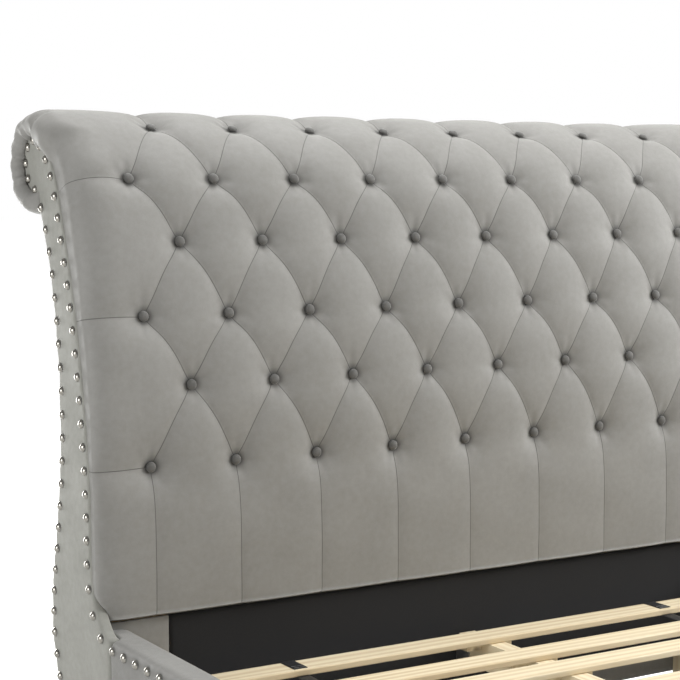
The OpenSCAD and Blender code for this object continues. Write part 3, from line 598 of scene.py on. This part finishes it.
def tufted_sheet(name, node, buttons_node, side, facing_node, roll, tucks=(), cells=20):
    """Padding drawn in by buttons, whose sides turn back to the facings. roll gives the lengths
    between which the sides swell out over the facings' scrolls, and tucks where they are pleated."""
    line = BoardLine(node, side)
    buttons, folds, rows, step = [], [], [line.length / 2], ROW_STEP
    for middle in solids_of(buttons_node) if buttons_node else []:
        s, deep = line.nearest(middle.y, middle.z)
        buttons.append((middle.x, s, deep))
    if buttons:
        folds, rows, pitch = crease_lines([b[:2] for b in buttons], PAD_HALF, line.length)
        step = pitch / 2 / cells
    flat_half = math.ceil(OUTERMOST_BUTTON / step) * step
    flat_steps = round(flat_half / step)
    inner = np.arange(-flat_steps, flat_steps + 1) * step
    # The columns past the flat part run on by 1 down each side
    turn = flat_half + np.linspace(0, 1, SIDE_COLUMNS + 1)[1:]
    across = np.concatenate([-turn[::-1], inner, turn])
    pieces = [np.linspace(0, rows[0], int(rows[0] / ROW_STEP))[:-1]]
    pieces += [np.linspace(a, b, cells + 1)[:-1] for a, b in zip(rows, rows[1:])]
    pieces.append(np.linspace(rows[-1], line.length, int((line.length - rows[-1]) / LAST_ROW_STEP)))
    along = np.concatenate(pieces)
    section = side_section(line, facing_node, roll)
    marks = {}

    def place(x, s):
        beyond = np.clip(np.abs(x) - flat_half, 0, 1)
        wide, most, end, low, far, swollen = (np.interp(s, line.s, v) for v in section)
        start = most - wide
        # Across to the turn, a quarter round down, then in under the facing
        a = np.clip(beyond / TURN_START, 0, 1)
        b = np.clip((beyond - TURN_START) / (TURN_END - TURN_START), 0, 1) * math.pi / 2
        c = np.clip((beyond - TURN_END) / (1 - TURN_END), 0, 1) * math.pi / 2
        out = np.where(beyond <= TURN_START, flat_half + (start - flat_half) * a, start + wide * np.sin(b))
        sink = low * (1 - np.cos(b))
        out = np.where(beyond > TURN_END, end + (most - end) * np.cos(c), out)
        sink = np.where(beyond > TURN_END, low + (far - low) * np.sin(c), sink)
        flat_x = np.where(beyond > 0, np.sign(x) * np.minimum(out, most), x)
        level = np.cos(b) * (beyond <= TURN_END)
        # Folds between the buttons
        swell = np.ones_like(x)
        closest = np.full_like(x, 1.0)
        for fold in folds:
            away = distance_to(flat_x, s, fold)
            swell *= 1 - fold[4] * np.exp(-away / FOLD_REACH)
            closest = np.minimum(closest, away)
        sink += FOLD_DEPTH * (1 - swell) * (0.25 + 0.75 * level)
        # Funnels round the buttons, with the cloth puckered at their rims and painted shade round their
        # wells
        painted_pit_shade = np.zeros_like(x)
        for bx, bs, deep in buttons:
            away = np.hypot(flat_x - bx, s - bs)
            near = away < 0.25
            r = away[near]
            angle = np.arctan2(s[near] - bs, flat_x[near] - bx)
            pucker = PUCKER * np.sin(PUCKER_COUNT * angle + 40 * bx)
            pucker = pucker * np.exp(-((r - PUCKER_RADIUS) / (PUCKER_RADIUS / 2)) ** 2)
            well = (deep + BUTTON_SINK - FOLD_DEPTH - FUNNEL_DEPTH) * np.exp(-(r / WELL_RADIUS) ** 2.4)
            sink[near] += FUNNEL_DEPTH * np.exp(-r / PIT_REACH) + well + pucker
            # The ring round each button where painted shade darkens the velvet
            rim = np.exp(-(np.maximum(r - 0.010, 0) / 0.0075) ** 1.5)
            painted_pit_shade[near] = np.maximum(painted_pit_shade[near], rim)
        # Pleats laid round the ends of the roll
        for at, strength, lean in tucks:
            bent = s - at - lean * (1 - beyond)
            fade = swollen * np.clip((beyond - 0.12) / 0.5, 0, 1)
            raised = 0.25 * np.exp(-((bent - 0.02) / 0.014) ** 2)
            sink += strength * fade * (np.exp(-np.abs(bent) / TUCK_WIDTH) - raised) * TUCK_DEPTH
            # Deep tucks get the same painted shade line as a crease
            shade_lined = (fade > 0.25) & (strength > 0.6)
            closest = np.where(shade_lined, np.minimum(closest, np.abs(bent) + 0.0001), closest)
        for from_edge in (s, line.length - s):
            sink += EDGE_DEPTH * rounded_rim(from_edge, EDGE_REACH)
        sink += RIPPLE * np.sin(23 * flat_x + 31 * s) * np.sin(17 * s - 9 * flat_x)
        # Between two rows of buttons the stuffing pushes the folds up a little
        between = np.interp(s, rows, np.arange(len(rows))) % 1 if len(rows) > 1 else 0 * s
        s = s + FOLD_RISE * np.sin(math.pi * between) ** 2 * np.clip(level + 0.3, 0, 1)
        point, inward = line.at(s), line.normal(s)
        if roll[1] > line.length:
            # The last edge, of a roll or of the panel that ends under one, laps what is behind it
            onward = point - line.at(s - 0.002)
            onward /= np.linalg.norm(onward, axis=1)[:, None]
            lap = ROLL_LAP * np.clip(1 - (line.length - s) / LAP_REACH, 0, 1) ** 2
            point = point + onward * lap[:, None]
        closest[closest < 2e-4] = 0
        marks["crease"], marks["pit_shade"] = closest, painted_pit_shade
        y, z = point[:, 0] - inward[:, 0] * sink, point[:, 1] - inward[:, 1] * sink
        return np.stack([flat_x, y, z], axis=1)

    mesh = grid_mesh(name, across, along, place)
    for label, values in marks.items():
        mark = mesh.attributes.new(label, "FLOAT", "POINT")
        mark.data.foreach_set("value", values.astype(np.float32))
    # Quads that a slanting fold crosses are split along it, so that the fold stays straight
    shape = bmesh.new()
    shape.from_mesh(mesh)
    bmesh.ops.connect_verts(shape, verts=[v for v in shape.verts if marks["crease"][v.index] == 0])
    shape.to_mesh(mesh)
    shape.free()
    face_one_way(mesh, line, side)
    piece = show(name, mesh, tufted_velvet)
    give_wall(piece, VELVET_THICK)
    return piece


head_line = BoardLine("head_pad", -1)
front_turn = head_line.nearest(1.085, 1.33)[0]
tuck_start = head_line.nearest(1.150, 1.37)[0]
# Each tuck: its length past the start, how deep it is and how far it leans
head_tucks = [(tuck_start + at, strength, lean) for at, strength, lean in
              [(-0.05, 0.9, -0.02), (0.03, 1.0, 0.03), (0.085, 0.5, 0.01), (0.13, 0.9, -0.015),
               (0.185, 0.6, 0.0), (0.225, 0.8, 0.02), (0.27, 0.45, 0.01), (0.305, 0.9, -0.02)]]
head_padding = tufted_sheet("head_tufted_padding", "head_pad", "head_buttons", -1, "head_facing_r",
                            (front_turn, head_line.length + PAST_END), head_tucks)
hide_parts("head_pad", "head_roll_end_l", "head_roll_end_r")


# ---- Covered buttons ----
# A pressed steel shell with velvet drawn over it and gathered behind, held by a cord through the
# board. The dome is shallow, its rim rolls under, and the cloth is tight over it.

# Half section of the dome from its crown round the rim to the back
BUTTON_SECTION = [(0, 0.0047), (0.0035, 0.0044), (0.0065, 0.0036), (0.0088, 0.0021), (0.0101, 0.0003),
                  (0.0104, -0.0012), (0.0100, -0.0026), (0.0088, -0.0034), (0.0060, -0.0038), (0, -0.0040)]


def covered_buttons(name, node, board):
    """One dome for each CAD button, turned to face out of the board's line."""
    shape = bmesh.new()
    for middle in solids_of(node):
        s, _ = board.nearest(middle.y, middle.z)
        out = board.normal(np.array([s]))[0]
        single = bmesh.new()
        ring = [single.verts.new((r, 0, z)) for r, z in BUTTON_SECTION]
        sides = [single.edges.new(pair) for pair in zip(ring, ring[1:])]
        bmesh.ops.spin(single, geom=ring + sides, cent=(0, 0, 0), axis=(0, 0, 1),
                       angle=2 * math.pi, steps=20)
        bmesh.ops.remove_doubles(single, verts=single.verts, dist=1e-5)
        bmesh.ops.recalc_face_normals(single, faces=single.faces)
        facing = Vector((0, out[0], out[1])).to_track_quat("Z", "Y").to_matrix().to_4x4()
        bmesh.ops.transform(single, verts=single.verts, matrix=Matrix.Translation(middle) @ facing)
        part = bpy.data.meshes.new("part")
        single.to_mesh(part)
        shape.from_mesh(part)
        single.free()
        bpy.data.meshes.remove(part)
    mesh = bpy.data.meshes.new(name)
    shape.to_mesh(mesh)
    shape.free()
    piece = show(name, mesh, shaded_button_velvet)
    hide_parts(node)
    return piece


# The buttons' velvet is the padding's, painted darker as shade in their wells
shaded_button_velvet = velvet("shaded_button_velvet", [c * 0.42 for c in VELVET_DARK], [c * 0.5 for c in VELVET_LIGHT])
covered_buttons("head_covered_buttons", "head_buttons", BoardLine("head_pad", -1))


# ---- Headboard back, leg corners and dust cloth ----
# Velvet over thin wadding on the back, the same velvet stapled round the legs' inner corners, and a
# black non-woven cloth stretched between them below the padding.

def covered_sheet(name, node, side, material, thick, puff):
    """A plain cover that follows the outer line of its CAD solid, softly rounded at its rims."""
    line = BoardLine(node, side)
    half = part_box(node)[1][0]
    across = np.linspace(-half, half, 180)
    along = np.linspace(0, line.length, max(24, int(line.length / 0.012)))

    def place(x, s):
        point = line.at(s)
        inward = line.normal(s)
        sink = sum(puff * rounded_rim(edge, 0.03) for edge in (half - np.abs(x), s, line.length - s))
        sink += 0.0011 * np.sin(11 * x + 4 * s) * np.sin(13 * s - 3 * x) + 0.0011
        return np.stack([x, point[:, 0] - inward[:, 0] * sink, point[:, 1] - inward[:, 1] * sink], axis=1)

    mesh = grid_mesh(name, across, along, place)
    face_one_way(mesh, line, side)
    piece = show(name, mesh, material)
    give_wall(piece, thick)
    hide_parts(node)
    return piece


head_back = covered_sheet("head_back_velvet", "head_back_cover", 1, plain_velvet, 0.006, 0.003)


def soft_box(name, node, material, rim, bulge):
    """A thin wadded panel: the CAD solid's box with rounded rims and a slight belly."""
    low, high = (Vector(c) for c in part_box(node))
    shape = bmesh.new()
    bmesh.ops.create_cube(shape, size=1)
    bmesh.ops.scale(shape, verts=shape.verts, vec=high - low)
    bmesh.ops.translate(shape, verts=shape.verts, vec=(low + high) / 2)
    bmesh.ops.bevel(shape, geom=shape.edges[:], offset=rim, offset_type="OFFSET", segments=3,
                    profile=0.5, affect="EDGES", material=-1)
    bmesh.ops.triangulate(shape, faces=[f for f in shape.faces if len(f.verts) > 4])
    long_edges = [e for e in shape.edges if e.calc_length() > 0.05]
    bmesh.ops.subdivide_edges(shape, edges=long_edges, cuts=7, use_grid_fill=True)
    centre, half = (low + high) / 2, (high - low) / 2
    for vert in shape.verts:
        fx = 1 - ((vert.co.x - centre.x) / half.x) ** 2
        fz = 1 - ((vert.co.z - centre.z) / half.z) ** 2
        if vert.co.y < centre.y:
            vert.co.y -= bulge * max(fx, 0) ** 0.5 * max(fz, 0) ** 0.5
    mesh = bpy.data.meshes.new(name)
    shape.to_mesh(mesh)
    shape.free()
    piece = show(name, mesh, material)
    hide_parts(node)
    return piece


for hand in ("l", "r"):
    corner = soft_box("head_leg_corner_" + hand, "head_leg_wrap_" + hand, plain_velvet, 0.002, 0.0015)

# Black non-woven: matted fibres with a faint grid of bond points
cloth_black, tree, shader = new_material("black_non_woven")
place = add_node(tree, "ShaderNodeTexCoord")
matted = add_node(tree, "ShaderNodeTexNoise", Scale=420.0, Detail=5, Roughness=0.75)
bonds = add_node(tree, "ShaderNodeTexVoronoi", Scale=330.0)
cloth_bump = add_node(tree, "ShaderNodeBump", Strength=0.35, Distance=0.0004)
lift = add_node(tree, "ShaderNodeMath", operation="MULTIPLY")
join(tree, place, "Object", matted, "Vector")
join(tree, place, "Object", bonds, "Vector")
join(tree, matted, "Fac", lift, 0)
join(tree, bonds, "Distance", lift, 1)
join(tree, lift, 0, cloth_bump, "Height")
cloth_colour = two_tone(tree, matted, "Fac", (0.005, 0.005, 0.006), (0.017, 0.017, 0.018))
join(tree, cloth_colour, MIXED, shader, "Base Color")
join(tree, cloth_bump, "Normal", shader, "Normal")
shader.inputs["Roughness"].default_value = 0.93

low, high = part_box("head_dust_cloth")
CLOTH_THICK, CLOTH_WAVE = 0.0012, 0.0008


def hang_cloth(x, z):
    """The cloth stands upright and is barely slack."""
    slack = CLOTH_WAVE * np.sin(9 * x + 3 * z) * np.sin(21 * z)
    return np.stack([x, low[1] + CLOTH_THICK + slack, z], axis=1)


cloth_mesh = grid_mesh("head_dust_cloth_sheet", np.linspace(low[0], high[0], 120),
                       np.linspace(low[2], high[2], 30), hang_cloth)
if cloth_mesh.polygons[0].normal.y > 0:
    cloth_mesh.flip_normals()
dust_cloth = show("head_dust_cloth_sheet", cloth_mesh, cloth_black)
give_wall(dust_cloth, CLOTH_THICK)
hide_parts("head_dust_cloth")


# ---- Side facings ----
# Shaped boards padded thinly and covered in a paler velvet, screwed on last. A row of domed nails
# follows their edges and dimples the cloth. They sweep forward at the bottom to meet the rails.

facing_velvet = velvet("facing_velvet", (0.245, 0.245, 0.219), (0.315, 0.313, 0.284),
                       rough=0.7, sheen=0.18)
NAIL_DENT, DENT_REACH = 0.0018, 0.010


def padded_copy(name, node, material, grain, rounds, nails=()):
    """A soft-edged copy of a CAD solid with an even mesh, dimpled under its nails."""
    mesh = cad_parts[node].data.copy()
    mesh.materials.clear()
    piece = bpy.data.objects.new(name, mesh)
    scene.collection.objects.link(piece)
    shape = bmesh.new()
    shape.from_mesh(mesh)
    bmesh.ops.remove_doubles(shape, verts=shape.verts, dist=1e-6)
    shape.to_mesh(mesh)
    shape.free()
    even = piece.modifiers.new("even", "REMESH")
    even.mode = "VOXEL"
    even.voxel_size = grain
    bpy.context.view_layer.update()
    settled = piece.evaluated_get(bpy.context.evaluated_depsgraph_get())
    fine = bpy.data.meshes.new_from_object(settled)
    piece.modifiers.clear()
    piece.data = fine
    shape = bmesh.new()
    shape.from_mesh(fine)
    for _ in range(rounds):
        bmesh.ops.smooth_vert(shape, verts=shape.verts, factor=0.5, use_axis_x=True, use_axis_y=True,
                              use_axis_z=True)
    shape.to_mesh(fine)
    shape.free()
    flat = np.empty(len(fine.vertices) * 3)
    fine.vertices.foreach_get("co", flat)
    flat = flat.reshape(-1, 3)
    outside = np.abs(flat[:, 0]) > np.abs(flat[:, 0]).max() - 0.004
    side = np.sign(flat[:, 0].mean())
    dent = np.zeros(len(flat))
    for nail in nails:
        if nail.x * side > 0:
            away = np.hypot(flat[:, 1] - nail.y, flat[:, 2] - nail.z)
            dent = np.maximum(dent, NAIL_DENT * np.exp(-(away / DENT_REACH) ** 2))
    wave = 0.0009 * np.sin(37 * flat[:, 1] + 13 * flat[:, 2]) * np.sin(43 * flat[:, 2] - 11 * flat[:, 1])
    flat[:, 0] -= side * (dent + 0.0006 + wave) * outside
    fine.vertices.foreach_set("co", flat.ravel())
    fine.update()
    fine.materials.append(material)
    fine.shade_smooth()
    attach(piece, "bed")
    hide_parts(node)
    return piece


head_nail_places = solids_of("head_nails")
for hand in ("l", "r"):
    facing = padded_copy("head_padded_facing_" + hand, "head_facing_" + hand, facing_velvet, 0.005, 4,
                         head_nail_places)


# ---- Footboard ----
# Built as the headboard is: a padded roll whose plain inner face runs down to the rails, a tufted
# outer panel under the roll, scrolled facings, and pleats where the velvet turns in at the ends.

foot_line = BoardLine("foot_roll_pad", 1)
foot_turn = foot_line.nearest(-1.205, 0.705)[0]
foot_tucks = [(foot_turn + at, strength, lean) for at, strength, lean in
              [(0.07, 0.9, 0.01), (0.12, 0.6, -0.01), (0.165, 0.9, 0.012), (0.21, 0.6, 0.0),
               (0.25, 0.8, -0.01)]]
foot_roll = tufted_sheet("foot_roll_velvet", "foot_roll_pad", None, 1, "foot_facing_r",
                         (foot_turn, foot_line.length + PAST_END), foot_tucks)
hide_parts("foot_roll_pad", "foot_roll_end_l", "foot_roll_end_r")
foot_padding = tufted_sheet("foot_tufted_padding", "foot_outer_pad", "foot_buttons", -1, "foot_facing_r",
                            NO_ROLL, cells=18)
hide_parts("foot_outer_pad")
covered_buttons("foot_covered_buttons", "foot_buttons", BoardLine("foot_outer_pad", -1))
foot_nail_places = solids_of("foot_nails")
for hand in ("l", "r"):
    facing = padded_copy("foot_padded_facing_" + hand, "foot_facing_" + hand, facing_velvet, 0.005, 4,
                         foot_nail_places)


# ---- Rails ----
# Plywood cores wrapped in wadding and velvet that turns over the top and down inside, with the
# facings' nail row carried on along the outside.

# The rails' velvet is the padding's, painted darker as shade
shaded_rail_velvet = velvet("shaded_rail_velvet", [c * 0.72 for c in VELVET_DARK], [c * 0.76 for c in VELVET_LIGHT])
rail_nail_places = solids_of("rail_nails")
for hand in ("l", "r"):
    padding = padded_copy("shaded_rail_velvet_" + hand, "rail_pad_" + hand, shaded_rail_velvet, 0.006, 4,
                          rail_nail_places)


# ---- Nails and steel ----
# Domed nail heads in polished nickel, and zinc-plated brackets, bolts, screws, inserts and staples
# with the dull streaks that plating has.

smudge_group, s_in, s_out = new_group("smudges", [("Vector", VECTOR), ("Scale", FLOAT)], [("Mask", FLOAT)])
smear = add_node(smudge_group, "ShaderNodeTexNoise", Detail=4, Roughness=0.65)
join(smudge_group, s_in, "Vector", smear, "Vector")
join(smudge_group, s_in, "Scale", smear, "Scale")
join(smudge_group, smear, "Fac", s_out, "Mask")


def metal(name, dark, light, smooth, dull, scale):
    made, tree, shader = new_material(name)
    place = add_node(tree, "ShaderNodeTexCoord")
    smudges = tree.nodes.new("ShaderNodeGroup")
    smudges.node_tree = smudge_group
    smudges.inputs["Scale"].default_value = scale
    join(tree, place, "Object", smudges, "Vector")
    colour = two_tone(tree, smudges, "Mask", dark, light)
    join(tree, colour, MIXED, shader, "Base Color")
    shine = add_node(tree, "ShaderNodeMapRange", From_Min=0.3, From_Max=0.7, To_Min=smooth, To_Max=dull)
    join(tree, smudges, "Mask", shine, "Value")
    join(tree, shine, "Result", shader, "Roughness")
    shader.inputs["Metallic"].default_value = 1.0
    return made


nickel = metal("polished_nickel", (0.27, 0.26, 0.23), (0.45, 0.43, 0.39), 0.10, 0.22, 60)
zinc = metal("zinc_plate", (0.42, 0.43, 0.44), (0.62, 0.62, 0.60), 0.3, 0.5, 45)
dress(nickel, "head_nails", "foot_nails", "rail_nails")
dress(zinc, "cleat_screws", "corner_brackets", "corner_bolts", "strap_staples", "beam_brackets",
      "leg_tee_nuts")


# ---- Webbing ----
# Black polypropylene tape stapled to the slats to keep their spacing. Its end is turned up round
# the first slat, folded over it and stapled on top.

webbing, tree, shader = new_material("black_webbing")
place = add_node(tree, "ShaderNodeTexCoord")
ribs = add_node(tree, "ShaderNodeTexWave", bands_direction="Y", Scale=120.0, Distortion=0.4)
strands = add_node(tree, "ShaderNodeTexWave", bands_direction="X", Scale=160.0, Distortion=0.4)
weave = add_node(tree, "ShaderNodeMath", operation="MULTIPLY")
weave_bump = add_node(tree, "ShaderNodeBump", Strength=0.6, Distance=0.0005)
join(tree, place, "Object", ribs, "Vector")
join(tree, place, "Object", strands, "Vector")
join(tree, ribs, "Fac", weave, 0)
join(tree, strands, "Fac", weave, 1)
join(tree, weave, 0, weave_bump, "Height")
tape_colour = two_tone(tree, ribs, "Fac", (0.006, 0.006, 0.007), (0.02, 0.02, 0.022))
join(tree, tape_colour, MIXED, shader, "Base Color")
join(tree, weave_bump, "Normal", shader, "Normal")
shader.inputs["Roughness"].default_value = 0.55
slat_middles = solids_of("slats")
slat_low, slat_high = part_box("slats")
slat_edges = slat_high[1] - max(m.y for m in slat_middles)
for hand in ("l", "r"):
    low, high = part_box("strap_" + hand)
    tape = slat_low[2] - low[2]
    under, over = low[2] + tape / 2, high[2] - tape / 2
    near, far = low[1] + tape / 2, high[1] - tape / 2
    lap = 2 * slat_edges - 0.008
    stations = [(near + lap, over), (near, over), (near, under)]
    for middle in sorted(slat_middles, key=lambda m: m.y):
        stations += [(middle.y - slat_edges, under), (middle.y + slat_edges, under),
                     (middle.y + 0.075, under - 0.0012)]
    stations = stations[:-1] + [(far, under), (far, over), (far - lap, over)]
    run_s, run = eased(np.array(stations), 0.002, 0.006)
    tape_mesh = grid_mesh("webbing_" + hand, np.linspace(low[0], high[0], 7), run_s,
        lambda x, s: np.stack([x, np.interp(s, run_s, run[:, 0]), np.interp(s, run_s, run[:, 1])], axis=1))
    webbing_strap = show("webbing_" + hand, tape_mesh, webbing)
    give_wall(webbing_strap, tape * 0.9, 0)
    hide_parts("strap_" + hand)


# ---- Levelling glides ----
# Moulded black plastic feet on threaded stems.

moulded, tree, shader = new_material("moulded_black")
place = add_node(tree, "ShaderNodeTexCoord")
texture_grain = add_node(tree, "ShaderNodeTexNoise", Scale=900.0, Detail=2)
texture_bump = add_node(tree, "ShaderNodeBump", Strength=0.2, Distance=0.0002)
join(tree, place, "Object", texture_grain, "Vector")
join(tree, texture_grain, "Fac", texture_bump, "Height")
join(tree, texture_bump, "Normal", shader, "Normal")
plastic_colour = two_tone(tree, texture_grain, "Fac", (0.012, 0.012, 0.012), (0.028, 0.028, 0.028))
join(tree, plastic_colour, MIXED, shader, "Base Color")
shader.inputs["Roughness"].default_value = 0.5
dress(moulded, "leg_glide_1", "leg_glide_2", "leg_glide_3")
